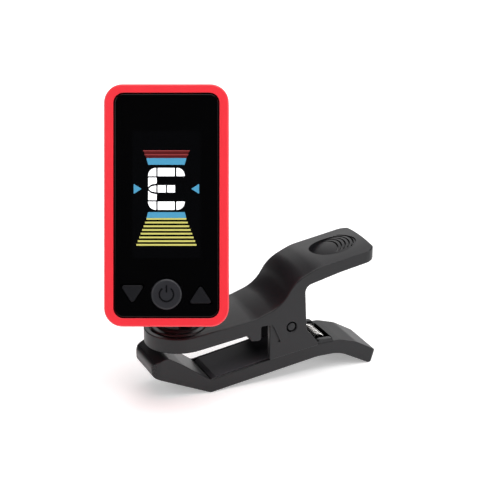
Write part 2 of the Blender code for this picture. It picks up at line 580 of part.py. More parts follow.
# ---- read-out head, what is inside ----------------------------------------------------------
def inside():
    """Display stack, board, switches, sensor and battery parts."""
    lcd_mid = (0.0, HEAD_MID + 2.5)
    slab("lcd_panel", box_outline(19.0, 33.0, 0.4, lcd_mid), 8.8, 10.0, head, LCD)
    slab("light_guide", box_outline(18.6, 29.0, 0.4, (0.0, lcd_mid[1] + 1.7)), 7.5, 8.3, head, MILKY)
    slab("lcd_connector", box_outline(17.0, 1.4, 0.0, (0.0, lcd_mid[1] - 15.5)), 7.1, 8.5, head, RUBBER)
    board = slab("circuit_board", box_outline(24.2, 50.6, 2.2, MID), BOARD_LOW, BOARD_TOP, head, BOARD)
    for number, (x, y) in enumerate(screw_places(), 1):
        combine(board, rod(f"board_relief_{number}", 2.3, 4, 9, head, steps=16, place=(x, y, 0)))
    slab("control_chip", box_outline(7.0, 7.0, 0.3, (4.5, -9.5)), 4.9, 5.7, head, CHIP)
    for side_name, x in (("down", -BUTTON_SPREAD), ("power", 0.0), ("up", BUTTON_SPREAD)):
        can = box_outline(4.4, 4.4, 0.4, (x, BUTTON_Y))
        switch = slab(f"switch_{side_name}", can, BOARD_TOP + GAP, 7.5, head, STEEL)
        dome = rod(f"{side_name}_dome", 1.1, 7.3, 7.75, head, steps=16, place=(x, BUTTON_Y, 0))
        combine(switch, dome, "UNION")
    rod("piezo_sensor", 6.0, 3.7, 4.1, head, BRASS, 32)
    turned("coin_cell", [(0, 5.3), (8.8, 5.3), (8.9, 5.1), (9.8, 5.0), (CELL_R, 4.7), (CELL_R, 2.2),
                         (9.9, 5.3 - CELL_T), (0, 5.3 - CELL_T)], door_axis, STEEL, 40)
    ring = turned("battery_ring", [(CELL_R + 0.35, 5.7), (CELL_R + 1.2, 5.7), (CELL_R + 1.2, 2.7),
                                   (CELL_R + 0.35, 2.7), (CELL_R + 0.35, 5.7)],
                  head, WHITE, 40, (0, DOOR_Y, 0))
    combine(ring, slab("ring_gap_cut", box_outline(6.0, 4.0, 0.0, (0, DOOR_Y - CELL_R - 1.0)), 2, 7, head))
    slab("contact_negative", box_outline(5.0, 14.0, 1.0, (0, DOOR_Y)), 5.5, 5.7, head, BRASS)
    slab("contact_positive", box_outline(3.6, 0.4, 0.0, (0, DOOR_Y - CELL_R - 0.7)), 2.8, 5.7, head, BRASS)


def battery_door():
    """A coin-slot door with three bayonet tabs under the cover's rim."""
    skirt = DOOR_R - 0.3
    profile = [(0, 1.1), (DOOR_R - 1.5, 1.1), (DOOR_R - 1.5, 1.75), (skirt, 1.75), (skirt, 1.3),
               (DOOR_R, 1.1), (DOOR_R, 0.3), (skirt, 0.0), (0, 0.0)]
    door = turned("battery_door", profile, door_axis, RED, 36)
    for k in range(3):
        tab = slab(f"door_tab_{k}", box_outline(2.8, 2.0, 0.2), 1.5, 1.8, door_axis)
        tab.location = Vector((*spoke(120 * k + 90 + DOOR_TWIST, DOOR_R - 0.2), 0)) * MM
        tab.rotation_euler = (0, 0, radians(120 * k + DOOR_TWIST))
        combine(door, tab, "UNION")
    combine(door, slab("coin_slot_cut", box_outline(13.0, 1.8, 0.85), -1, 0.6, door_axis))
    return door


inside()
battery_door()
for index, (screw_x, screw_y) in enumerate(screw_places(), 1):
    cap_screw(f"housing_screw_{index}", 1.2, 0.1, 0.75, 0.7, 8.2, head, (screw_x, screw_y, 0))
cap_screw("spin_screw", 2.7, -3.6, -2.5, 1.5, 2.9, head, slot=1.5)
spin_nut = slab("spin_nut", circle(3.2, count=6), SHELL + GAP, 3.2, head, BRASS)
combine(spin_nut, rod("spin_nut_cut", 1.5 + GAP, 0, 5, head))
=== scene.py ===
# %% [markdown]
# # A clip-on tuner
# A clip-on tuner sits on the head of a guitar and feels the string through the wood. It is a sprung black
# clip, a small turret and arm, and a red-framed read-out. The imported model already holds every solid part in
# its true place. This file dresses that model: it makes the visible pieces again with fine edges, gives each
# one a finish, and hangs it on the body that it moves with.

# %% Load the frame
import json
from math import cos, pi, radians, sin, tan

import bmesh
import bpy
from mathutils import Matrix, Vector


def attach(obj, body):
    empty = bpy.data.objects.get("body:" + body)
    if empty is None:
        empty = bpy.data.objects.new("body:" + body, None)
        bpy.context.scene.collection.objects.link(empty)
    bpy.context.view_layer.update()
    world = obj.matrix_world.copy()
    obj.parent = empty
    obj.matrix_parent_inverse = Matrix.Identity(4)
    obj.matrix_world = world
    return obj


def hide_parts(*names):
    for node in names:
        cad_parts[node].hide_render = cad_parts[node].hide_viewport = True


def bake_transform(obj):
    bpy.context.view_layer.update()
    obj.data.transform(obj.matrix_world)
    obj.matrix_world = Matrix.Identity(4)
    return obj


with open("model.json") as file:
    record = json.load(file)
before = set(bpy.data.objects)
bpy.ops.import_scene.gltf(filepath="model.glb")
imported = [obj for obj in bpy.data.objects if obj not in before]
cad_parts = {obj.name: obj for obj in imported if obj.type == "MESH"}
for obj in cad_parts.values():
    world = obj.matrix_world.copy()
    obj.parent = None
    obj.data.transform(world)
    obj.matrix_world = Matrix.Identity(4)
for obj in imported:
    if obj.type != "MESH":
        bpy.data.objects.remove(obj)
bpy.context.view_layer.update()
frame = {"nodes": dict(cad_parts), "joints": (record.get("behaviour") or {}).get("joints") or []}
joints = {joint["name"]: joint for joint in frame["joints"]}

# %% [markdown]
# ## Where things are
# The joints say where the axes lie, so they also give the frames that the pieces are drawn in. Lengths are
# written in millimetres, and each frame's matrix turns them into metres. `CLIP` has its origin at the lower
# jaw's front foot, `TURRET` where the turret stands, and `HEAD` where the spin axis meets the head's back.

# %% Frames
MM = 0.001
PIVOT_X, PIVOT_Z = 20.2, 14.2


def frame_at(place, x_axis=(1, 0, 0), z_axis=(0, 0, 1)):
    """A matrix from millimetres in a local frame to metres in the tuner's own."""
    x = Vector(x_axis).normalized()
    z = Vector(z_axis).normalized()
    turn = Matrix((x, z.cross(x), z)).transposed().to_4x4()
    return Matrix.Translation(Vector(place)) @ turn @ Matrix.Scale(MM, 4)


tilt = joints["head_tilt"]["axis"]
spin = joints["head_spin"]
face_out = -Vector(spin["axis"])
pivot = Vector(joints["jaw_pivot"]["pos_m"])
CLIP = frame_at(pivot - Vector((PIVOT_X, 0, PIVOT_Z)) * MM)
TURRET = frame_at(joints["turret_turn"]["pos_m"], tilt)
HEAD = frame_at(spin["pos_m"], tilt, face_out)
DOOR = frame_at(joints["battery_door_twist"]["pos_m"], tilt, face_out)
TILT_PIN = HEAD.inverted() @ Vector(joints["head_tilt"]["pos_m"])
DOOR_Y = (HEAD.inverted() @ DOOR.translation).y
print("tilt pin seen from the spin axis, mm:", [round(value, 2) for value in TILT_PIN])

# %% [markdown]
# ## Finishes
# A moulded surface is never one flat colour. The mould is spark-eroded, so the plastic has a fine grain, its
# gloss drifts, and it is a little paler where hands rub it. All of that is worked out from the position on
# the piece. The class below wraps a node's output so that such sums read like sums.

# %% Shader helper
class Value:
    """A number that varies over a surface. Sums on it add Math nodes."""

    def __init__(self, paint, socket):
        self.paint = paint
        self.socket = socket

    def math(self, operation, first, second):
        return self.paint.add("ShaderNodeMath", {"operation": operation}, {0: first, 1: second})

    def __add__(self, other):
        return self.math("ADD", self, other)

    def __sub__(self, other):
        return self.math("SUBTRACT", self, other)

    def __rsub__(self, other):
        return self.math("SUBTRACT", other, self)

    def __mul__(self, other):
        return self.math("MULTIPLY", self, other)

    __radd__ = __add__


class Paint:
    """A material in the making."""

    def __init__(self, name, colour, roughness, **fixed):
        self.material = bpy.data.materials.new(name)
        self.material.use_nodes = True
        self.tree = self.material.node_tree
        self.shader = self.tree.nodes["Principled BSDF"]
        self.put("Base Color", (*colour, 1.0))
        self.put("Roughness", roughness)
        for socket, value in fixed.items():
            self.put(socket.replace("_", " "), value)
        self.place = self.add("ShaderNodeTexCoord", output="Object")

    def add(self, kind, settings=None, inputs=None, output=0):
        """Add any node: its settings first, then the values or links of its sockets."""
        node = self.tree.nodes.new(kind)
        for key, value in (settings or {}).items():
            setattr(node, key, value)
        for key, value in (inputs or {}).items():
            self.fill(node.inputs[key], value)
        return Value(self, node.outputs[output])

    def fill(self, socket, value):
        """Link a Value to a socket, or set a plain number or colour on it."""
        if isinstance(value, Value):
            self.tree.links.new(value.socket, socket)
        else:
            socket.default_value = value

    def put(self, name, value):
        self.fill(self.shader.inputs[name], value)

    def noise(self, size_mm, detail=3.0, where=None):
        """A soft random pattern, 0 to 1, whose blobs are about size_mm across."""
        inputs = {"Vector": where or self.place, "Scale": 1.0 / (size_mm * MM), "Detail": detail}
        return self.add("ShaderNodeTexNoise", inputs=inputs)

    def blend(self, amount, first, second):
        """Mix two colours."""
        inputs = {0: amount, 6: (*first, 1.0), 7: (*second, 1.0)}
        return self.add("ShaderNodeMix", {"data_type": "RGBA"}, inputs, output=2)

    def bump(self, height, strength, depth_mm):
        """Let a height pattern tilt the surface."""
        normal = self.add("ShaderNodeBump", inputs={"Strength": strength, "Distance": depth_mm * MM,
                                                    "Height": height})
        self.put("Normal", normal)


def moulded(name, colour, roughness, grain_mm, grain_depth, drift=0.12, **fixed):
    """Moulded plastic or rubber: fine grain, drifting gloss, and a slightly uneven colour."""
    paint = Paint(name, colour, roughness, **fixed)
    cloud = paint.noise(6.0, 4.0)
    paler = [min(1.0, channel * (1 + 3 * drift)) for channel in colour]
    paint.put("Base Color", paint.blend(cloud, colour, paler))
    grain = paint.noise(grain_mm, 2.0)
    paint.put("Roughness", roughness - 0.05 + grain * 0.06 + cloud * 0.05)
    paint.bump(grain, 0.5, grain_depth)
    return paint.material


# %% [markdown]
# The clip is a satin black nylon with a spark-eroded grain of about a fifth of a millimetre. The grip pads
# are softer and duller. The head's shells are the same red through and through, smoother, with a thin sheen.

# %% Plastics
CLIP_BLACK = moulded("clip_black", (0.0065, 0.0062, 0.0075), 0.38, 0.22, 0.02, Specular_IOR_Level=0.35)
GRIP_RUBBER = moulded("grip_rubber", (0.040, 0.038, 0.044), 0.68, 0.35, 0.03, Specular_IOR_Level=0.35)
SHELL_RED = moulded("shell_red", (0.80, 0.026, 0.040), 0.34, 0.5, 0.004, 0.02, Coat_Weight=0.2,
                    Coat_Roughness=0.25)
# The near-black material for the power key's mark paints the shade in its engraved groove.
MARK_SHADE_BLACK = moulded("power_mark_painted_shade", (0.002, 0.002, 0.003), 0.5, 0.3, 0.002, Specular_IOR_Level=0.1)
ARROW_GREY = moulded("arrow_grey", (0.0035, 0.0035, 0.005), 0.5, 0.18, 0.012, Specular_IOR_Level=0.2)
KEY_GREY = moulded("key_grey", (0.007, 0.007, 0.010), 0.42, 0.18, 0.012)
RING_WHITE = moulded("ring_white", (0.72, 0.71, 0.67), 0.5, 0.3, 0.01)
CHIP_RESIN = moulded("chip_resin", (0.02, 0.02, 0.02), 0.6, 0.12, 0.01)
GUIDE_MILKY = moulded("guide_milky", (0.8, 0.82, 0.85), 0.3, 1.0, 0.002, 0.02)

# %% [markdown]
# Metals differ by how they were worked. Wire is drawn, but the spring's marks are given no direction here.
# Plated screws are nearly black with a soft lustre, and sheet brass carries fine rolling marks.

# %% Metals
def worked_metal(name, colour, roughness, mark_mm, stretch=(1, 1, 1)):
    """Metal with fine marks, longer along the axes whose stretch is small."""
    paint = Paint(name, colour, roughness, Metallic=1.0)
    drawn = paint.add("ShaderNodeMapping", inputs={"Vector": paint.place, "Scale": stretch})
    marks = paint.noise(mark_mm, 3.0, drawn)
    paint.put("Roughness", roughness - 0.06 + marks * 0.16)
    paint.put("Base Color", paint.blend(marks, [0.86 * channel for channel in colour], colour))
    paint.bump(marks, 0.25, 0.004)
    return paint.material


SPRING_STEEL = worked_metal("spring_steel", (0.72, 0.70, 0.68), 0.2, 0.3)
PIN_STEEL = worked_metal("pin_steel", (0.62, 0.62, 0.63), 0.28, 0.3, (1, 0.1, 1))
BLACK_ZINC = worked_metal("black_zinc", (0.075, 0.075, 0.08), 0.34, 0.2)
SHEET_BRASS = worked_metal("sheet_brass", (0.78, 0.60, 0.28), 0.28, 0.3, (0.1, 1, 1))
CELL_NICKEL = worked_metal("cell_nickel", (0.70, 0.69, 0.67), 0.24, 0.4, (1, 1, 0.1))

# %% [markdown]
# The window is polished black acrylic, with the display behind it. The display's own rectangle is only just
# lighter than the rest. Its outline is drawn from the piece's UV map, which holds millimetres on the face, so
# that the pattern stays with the head when it turns.

# %% Window, glass and circuit board
LCD_W, LCD_H, LCD_UP = 15.4, 28.8, 2.5


def window_paint():
    """Polished black, with the display's dim rectangle."""
    paint = Paint("window_black", (0.0005, 0.0005, 0.0007), 0.06, Specular_IOR_Level=0.25)
    place = paint.add("ShaderNodeUVMap", {"uv_map": "face_mm"})
    across = paint.add("ShaderNodeSeparateXYZ", inputs={0: place}, output=0)
    up = paint.add("ShaderNodeSeparateXYZ", inputs={0: place}, output=1)
    beside = across.math("ABSOLUTE", across, 0.0) - LCD_W / 2
    above = (up - LCD_UP).math("ABSOLUTE", up - LCD_UP, 0.0) - LCD_H / 2
    outside = beside.math("MAXIMUM", beside, above)
    inside = outside.math("LESS_THAN", outside, 0.0)
    paint.put("Base Color", paint.blend(inside, (0.0005, 0.0005, 0.0007), (0.0012, 0.0013, 0.0017)))
    smear = paint.noise(5.0, 4.0)
    paint.put("Roughness", smear * 0.05 + 0.04)
    return paint.material


def board_paint():
    """Solder-masked laminate: copper tracks show through as paler lines."""
    paint = Paint("board_green", (0.012, 0.13, 0.05), 0.4)
    black, white = (0, 0, 0, 1), (1, 1, 1, 1)
    bricks = {"Vector": paint.place, "Scale": 260.0, "Mortar Size": 0.06,
              "Color1": black, "Color2": black, "Mortar": white}
    tracks = paint.add("ShaderNodeTexBrick", inputs=bricks, output="Fac")
    paint.put("Base Color", paint.blend(tracks, (0.012, 0.13, 0.05), (0.03, 0.22, 0.09)))
    paint.put("Roughness", 0.42 - tracks * 0.08)
    paint.bump(tracks, 0.4, 0.03)
    return paint.material


WINDOW_BLACK = window_paint()
BOARD_GREEN = board_paint()
LCD_GLASS = moulded("lcd_glass", (0.04, 0.05, 0.055), 0.08, 2.0, 0.001, 0.05)

# %% [markdown]
# The read-out is lit, so its colours glow a little as well as reflecting light. A faint unevenness keeps each
# patch from looking like cut paper.

# %% Lit colours
def lit(name, colour, glow):
    """A patch of the display that is switched on."""
    paint = Paint(name, colour, 0.35, Emission_Strength=glow)
    cell = paint.noise(0.5, 2.0)
    paint.put("Base Color", paint.blend(cell, [0.9 * channel for channel in colour], colour))
    paint.put("Emission Color", paint.blend(cell, [0.9 * channel for channel in colour], colour))
    return paint.material


NOTE_WHITE = lit("note_white", (0.95, 0.95, 0.97), 0.55)
BAND_BLUE = lit("band_blue", (0.060, 0.27, 0.44), 0.25)
BAR_YELLOW = lit("bar_yellow", (0.50, 0.47, 0.12), 0.3)
FIELD_RED = lit("field_red", (0.070, 0.001, 0.002), 0.3)
LINE_RED = lit("line_red", (0.30, 0.045, 0.045), 0.25)

# %% [markdown]
# ## Shapes
# Nearly every piece is a flat outline made thick, a turned profile, or a few of those joined and cut. The
# outline's corners carry their radius, so a shape is a short list of corners and not a cloud of points.

# %% Outlines
def rounded(corners, step=6.0):
    """Turn (x, y, radius) corners into an outline whose corners are arcs, a point every step degrees."""
    outline = []
    count = len(corners)
    for i, (x, y, radius) in enumerate(corners):
        here = Vector((x, y))
        if radius <= 0.0:
            outline.append(here)
            continue
        back = (Vector(corners[i - 1][:2]) - here).normalized()
        ahead = (Vector(corners[(i + 1) % count][:2]) - here).normalized()
        half = back.angle(ahead) / 2
        reach = radius / tan(half)
        centre = here + (back + ahead).normalized() * radius / sin(half)
        start = here + back * reach - centre
        sweep = start.angle_signed(here + ahead * reach - centre)
        arcs = max(1, round(abs(sweep) / radians(step)))
        for k in range(arcs + 1):
            outline.append(centre + Matrix.Rotation(-sweep * k / arcs, 2) @ start)
    return outline


def box_outline(width, height, corner=0.0, mid=(0.0, 0.0), step=6.0):
    """A rectangle with round corners about a middle point."""
    left, right = mid[0] - width / 2, mid[0] + width / 2
    low, high = mid[1] - height / 2, mid[1] + height / 2
    corners = [(left, low, corner), (right, low, corner), (right, high, corner), (left, high, corner)]
    return rounded(corners, step)


def ring_points(radius, mid=(0.0, 0.0), count=64, tall=1.0):
    """Points of a circle, or of an oval when tall isn't 1."""
    turns = [2 * pi * k / count for k in range(count)]
    return [Vector((mid[0] + radius * cos(a), mid[1] + tall * radius * sin(a))) for a in turns]


# %% Solids
SIDEWAYS = Matrix.Rotation(pi / 2, 4, "X")
UPRIGHT = Matrix(((0, 0, 1, 0), (1, 0, 0, 0), (0, 1, 0, 0), (0, 0, 0, 1)))


def to_mesh(shape, turn=None):
    """Close a bmesh, turn its faces outwards and hand it over as a mesh."""
    bmesh.ops.recalc_face_normals(shape, faces=shape.faces)
    if turn is not None:
        shape.transform(turn)
    mesh = bpy.data.meshes.new("shape")
    shape.to_mesh(mesh)
    shape.free()
    return mesh


def plate(outline, low, high, turn=None):
    """A flat outline made thick from low to high."""
    shape = bmesh.new()
    base = [shape.verts.new((x, y, low)) for x, y in outline]
    top = [shape.verts.new((x, y, high)) for x, y in outline]
    shape.faces.new(base[::-1])
    shape.faces.new(top)
    for k in range(len(outline)):
        after = (k + 1) % len(outline)
        shape.faces.new((base[k], base[after], top[after], top[k]))
    return to_mesh(shape, turn)


def side_plate(outline, half_width, mid=0.0):
    """An outline in x and z, made wide along y."""
    return plate(outline, -half_width, half_width, Matrix.Translation((0, mid, 0)) @ SIDEWAYS)


def turned(profile, steps=64, turn=None):
    """A profile of (radius, height) points swept round the z axis."""
    shape = bmesh.new()
    verts = [shape.verts.new((radius, 0, height)) for radius, height in profile]
    edges = [shape.edges.new(pair) for pair in zip(verts, verts[1:])]
    bmesh.ops.spin(shape, geom=verts + edges, cent=(0, 0, 0), axis=(0, 0, 1), angle=2 * pi, steps=steps)
    bmesh.ops.remove_doubles(shape, verts=shape.verts, dist=1e-3)
    return to_mesh(shape, turn)


def rod(radius, low, high, place=(0, 0, 0), steps=48, turn=None):
    """A plain cylinder along z, or along another axis when turn is given."""
    move = Matrix.Translation(place)
    if turn is not None:
        move = move @ turn
    return turned([(0, high), (radius, high), (radius, low), (0, low)], steps, move)


# %% [markdown]
# A Boolean works on objects, so each cut adds a short-lived one. The results are then cleaned: points that
# coincide are joined, and flat areas become single faces. Only then is a narrow bevel put on every crisp
# edge. Real mouldings have such a radius everywhere, and it is what catches the light.

# %% Cutting and easing edges
def solid(name, mesh):
    """An object for a mesh, still in millimetres and in its own frame."""
    obj = bpy.data.objects.new(name, mesh)
    bpy.context.scene.collection.objects.link(obj)
    return obj


def settle(obj):
    """Apply the modifiers."""
    graph = bpy.context.evaluated_depsgraph_get()
    obj.data = bpy.data.meshes.new_from_object(obj.evaluated_get(graph))
    obj.modifiers.clear()
    return obj


def work(obj, how, *meshes):
    """Cut, join or intersect with other solids."""
    tools = [solid("tool", mesh) for mesh in meshes]
    for tool in tools:
        step = obj.modifiers.new("work", "BOOLEAN")
        step.operation = how
        step.solver = "EXACT"
        step.object = tool
    settle(obj)
    for tool in tools:
        bpy.data.objects.remove(tool)
    return obj


def cut(obj, *meshes):
    return work(obj, "DIFFERENCE", *meshes)


def join(obj, *meshes):
    return work(obj, "UNION", *meshes)


def tidy(obj, merge=0.004):
    """Join coincident points and make flat areas single faces."""
    shape = bmesh.new()
    shape.from_mesh(obj.data)
    bmesh.ops.remove_doubles(shape, verts=shape.verts, dist=merge)
    bmesh.ops.dissolve_limit(shape, angle_limit=radians(0.3), verts=shape.verts, edges=shape.edges)
    shape.to_mesh(obj.data)
    shape.free()
    return obj


def ease(obj, width, segments=3, angle=32.0):
    """Round every edge that is sharper than angle."""
    tidy(obj)
    bevel = obj.modifiers.new("ease", "BEVEL")
    bevel.width = width
    bevel.segments = segments
    bevel.limit_method = "ANGLE"
    bevel.angle_limit = radians(angle)
    bevel.use_clamp_overlap = False
    bevel.miter_outer = "MITER_ARC"
    return settle(obj)


def dress(obj, place, slot, finish, *nodes, sharp=38.0):
    """Move a finished piece into place, give it its finish, and hide the CAD nodes that it stands for."""
    obj.data.transform(place)
    obj.data.materials.clear()
    obj.data.materials.append(finish)
    obj.data.shade_smooth()
    obj.data.set_sharp_from_angle(angle=radians(sharp))
    weigh = obj.modifiers.new("weigh", "WEIGHTED_NORMAL")
    weigh.keep_sharp = True
    settle(obj)
    if nodes:
        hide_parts(*nodes)
    print(f"{obj.name}: {len(obj.data.polygons)} faces")
    return obj


def put(obj, place, body, slot, finish, *nodes, sharp=38.0):
    """Dress a piece and hang it on its body."""
    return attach(dress(obj, place, slot, finish, *nodes, sharp=sharp), body)


# %% [markdown]
# ## The clip
# The lower jaw is one moulding: a curled lip in front, a tray for the grip pad, two ears for the pivot, a
# pocket for the spring, and a tail that curves down to the table. Its side outline carries all of that, so it
# is drawn once and made wide. A second outline, seen from above, then rounds the corners of its plan.

# %% Lower jaw
LOWER_WIDTH, RIM, GAP = 13.0, 0.6, 0.3
LIP_X, TAIL_X = -14.7, 43.9
PAD_FROM, PAD_TO, PAD_DEPTH = 0.4, 21.5, 1.5
EAR_WALL = 1.5
SPRING_X, SPRING_Z, POCKET_FLOOR = 30.0, 7.05, 5.2
PIVOT_BORE_R, SPRING_PIN_R = 1.3, 0.55


def lower_top(x):
    """Height of the straight stretch under the grip."""
    return 3.3 + 0.165 * x


def cross_rod(radius, reach, x, z, steps=48):
    """A cylinder along y through a point of the side view."""
    return rod(radius, -reach, reach, (x, 0, z), steps, SIDEWAYS)


def lower_jaw():
    side = rounded([
        (0.0, 0.0, 1.0), (28.0, 4.2, 9.0), (34.0, 4.2, 9.0), (41.9, 0.0, 0.4), (42.6, 0.0, 0.5),
        (TAIL_X, 3.1, 0.5), (38.6, 6.2, 5.0), (34.0, 7.6, 4.0), (26.0, lower_top(26.0), 3.0),
        (0.0, lower_top(0.0), 1.2), (-7.0, 8.6, 3.5), (-11.0, 11.1, 1.8), (LIP_X, 9.6, 1.6),
        (LIP_X + 0.4, 6.3, 1.3)], 4)
    jaw = solid("lower_jaw_body", side_plate(side, LOWER_WIDTH / 2))
    length = TAIL_X - LIP_X + 1.0
    plan = box_outline(length, LOWER_WIDTH, 2.4, (LIP_X + length / 2 - 0.01, 0.0))
    work(jaw, "INTERSECT", plate(plan, -2, 14))
    front, back = PAD_FROM - GAP, PAD_TO + GAP
    tray = [(front, lower_top(PAD_FROM) - PAD_DEPTH), (back, lower_top(PAD_TO) - PAD_DEPTH),
            (back, 12), (front - 1.0, 12), (front - 0.2, lower_top(0) + 0.4)]
    cut(jaw, side_plate(tray, LOWER_WIDTH / 2 - RIM))
    inner = LOWER_WIDTH / 2 - 0.1 - EAR_WALL
    ear = rounded([(16.3, 5.2, 0), (25.6, 6.6, 0), (23.6, 11.0, 4.0), (23.0, 17.2, 2.8),
                   (17.2, 17.2, 2.8), (16.8, 11.0, 3.0)])
    boss = rounded([(27.2, 5.6, 0), (33.4, 5.6, 0), (32.0, 8.4, 1.2), (28.0, 8.5, 1.2)])
    for sign in (-1, 1):
        middle = sign * (inner + EAR_WALL / 2)
        join(jaw, side_plate(ear, EAR_WALL / 2, middle), side_plate(boss, EAR_WALL / 2, middle))
    pocket = rounded([(26.3, POCKET_FLOOR, 0.6), (32.6, POCKET_FLOOR, 0.6), (32.6, 12, 0), (26.3, 12, 0)])
    cut(jaw, side_plate(pocket, inner - 0.1))
    spring_bore = cross_rod(SPRING_PIN_R + GAP, inner + 0.9, SPRING_X, SPRING_Z)
    cut(jaw, cross_rod(PIVOT_BORE_R, 8, PIVOT_X, PIVOT_Z), spring_bore)
    return ease(jaw, 0.22)


put(lower_jaw(), CLIP, "lower_jaw", "clip_plastic", CLIP_BLACK, "lower_jaw")

# %% [markdown]
# The grip pad is a slab of rubber glued into the tray. Its front is cut at a slant, so that it doesn't catch
# when the clip is pushed on. A narrow gap runs all round it. The upper jaw has a smaller pad of the same
# kind.

# %% Grip pads
def lower_pad():
    floor = GAP - PAD_DEPTH
    slant = PAD_FROM + 1.1
    side = rounded([(PAD_FROM, lower_top(PAD_FROM) + floor, 0), (PAD_TO, lower_top(PAD_TO) + floor, 0),
                    (PAD_TO, lower_top(PAD_TO) + 0.1, 0.4), (slant, lower_top(slant) + 0.1, 0.5),
                    (PAD_FROM, lower_top(PAD_FROM) - 0.5, 0)])
    pad = solid("lower_pad", side_plate(side, LOWER_WIDTH / 2 - RIM - GAP))
    for sign in (-1, 1):
        cut(pad, plate(box_outline(12.0, 3.0, 0.5, (PAD_TO, sign * (LOWER_WIDTH / 2 - 0.3))), 0, 16))
    return ease(pad, 0.22)


put(lower_pad(), CLIP, "lower_jaw", "grip_rubber", GRIP_RUBBER, "lower_jaw_pad")
upper_pad = ease(solid("upper_pad", plate(box_outline(7.0, 12.0, 0.6, (4.6, 0.0)), 12.5, 13.7)), 0.2)
put(upper_pad, CLIP, "upper_jaw", "grip_rubber", GRIP_RUBBER, "upper_jaw_pad")

# %% [markdown]
# The upper jaw is the clip's main piece. From its round nose an arm runs back to two cheeks, which hang
# outside the lower jaw's ears, and an S-shaped riser lifts the thumb lever clear of the headstock. In front
# of the cheeks a hooked notch stops the wood from sliding in too far. The arm's top is crowned a little, and
# the lever has an oval rest for the thumb with five fine grooves in it.

# %% Upper jaw
UPPER_WIDTH, CHEEK = 16.4, 1.4
NOSE_X, NOSE_TOP, NOSE_UNDER = -5.6, 15.9, 12.2
LEVER_END_X = 42.5
TURRET_R, SPOT_DEPTH = 6.6, 0.5
NOSE = Matrix.Translation((NOSE_X, 0, NOSE_TOP))
LEVER_SLOPE = radians(8.86)
DISH = Matrix.Translation((35.3, 0, 30.29)) @ Matrix.Rotation(-LEVER_SLOPE, 4, "Y")
REST_W, REST_H, DOME_R = 12.0, 9.2, 26.0


def thumb_rest():
    """The cutter for the thumb's rest: an oval whose floor is a low dome, so it is deepest by the riser."""
    blank = solid("tool", plate(ring_points(REST_W / 2, (-0.9, -0.5), 96, REST_H / REST_W), -1.9, 3.0))
    arc = [(DOME_R * sin(radians(k)), DOME_R * (cos(radians(k)) - 1)) for k in range(25)]
    dome = turned(arc + [(arc[-1][0], -4.0), (0, -4.0)], 96, Matrix.Translation((2.6, 1.2, 0)))
    mesh = cut(blank, dome).data
    bpy.data.objects.remove(blank)
    mesh.transform(DISH)
    return mesh


def band(radius, half_width, start, end, steps=48):
    """A curved band: part of a ring, angles in degrees."""
    angles = [radians(start + (end - start) * k / steps) for k in range(steps + 1)]
    inner, outer = radius - half_width, radius + half_width
    return ([Vector((outer * cos(a), outer * sin(a))) for a in angles]
            + [Vector((inner * cos(a), inner * sin(a))) for a in reversed(angles)])


def rest_grooves():
    """Five curved grooves, each a step further along the lever."""
    groove = band(4.4, 0.2, -52, 58)
    return [plate(groove, -0.62, 1.0, DISH @ Matrix.Translation((-4.1 + 1.05 * k, 0.2, 0))) for k in range(5)]


def level(x, points):
    """Read a broken line of (x, z) points at x."""
    for (x0, z0), (x1, z1) in zip(points, points[1:]):
        if x <= x1:
            return z0 + (z1 - z0) * (x - x0) / (x1 - x0)
    return points[-1][1]


MIDDLE = [(-15, 14.0), (9, 16.0), (15, 17.5), (18, 19.5), (23, 25.5), (33, 27.8), (44, 30.0)]
CROWN_RISE = [(-15, 0.0), (2, 0.0), (12, 0.45), (22, 0.45), (32, 0.12), (44, 0.05)]
CROWN_DROP = [(-15, 0.0), (2, 0.0), (12, 1.2), (22, 1.2), (32, 0.75), (44, 0.6)]


def crowned(side, half_width, slices=24):
    """The arm's blank: the side outline made wide, with its top surface gently crowned from edge to edge."""
    shape = bmesh.new()
    rows = []
    for k in range(slices + 1):
        share = 2 * k / slices - 1
        row = []
        for x, z in side:
            if z > level(x, MIDDLE):
                z += level(x, CROWN_RISE) - level(x, CROWN_DROP) * share * share
            row.append(shape.verts.new((x, share * half_width, z)))
        rows.append(row)
    for near, far in zip(rows, rows[1:]):
        for k in range(len(near)):
            after = (k + 1) % len(near)
            shape.faces.new((near[k], near[after], far[after], far[k]))
    shape.faces.new(rows[0][::-1])
    shape.faces.new(rows[-1])
    return to_mesh(shape)


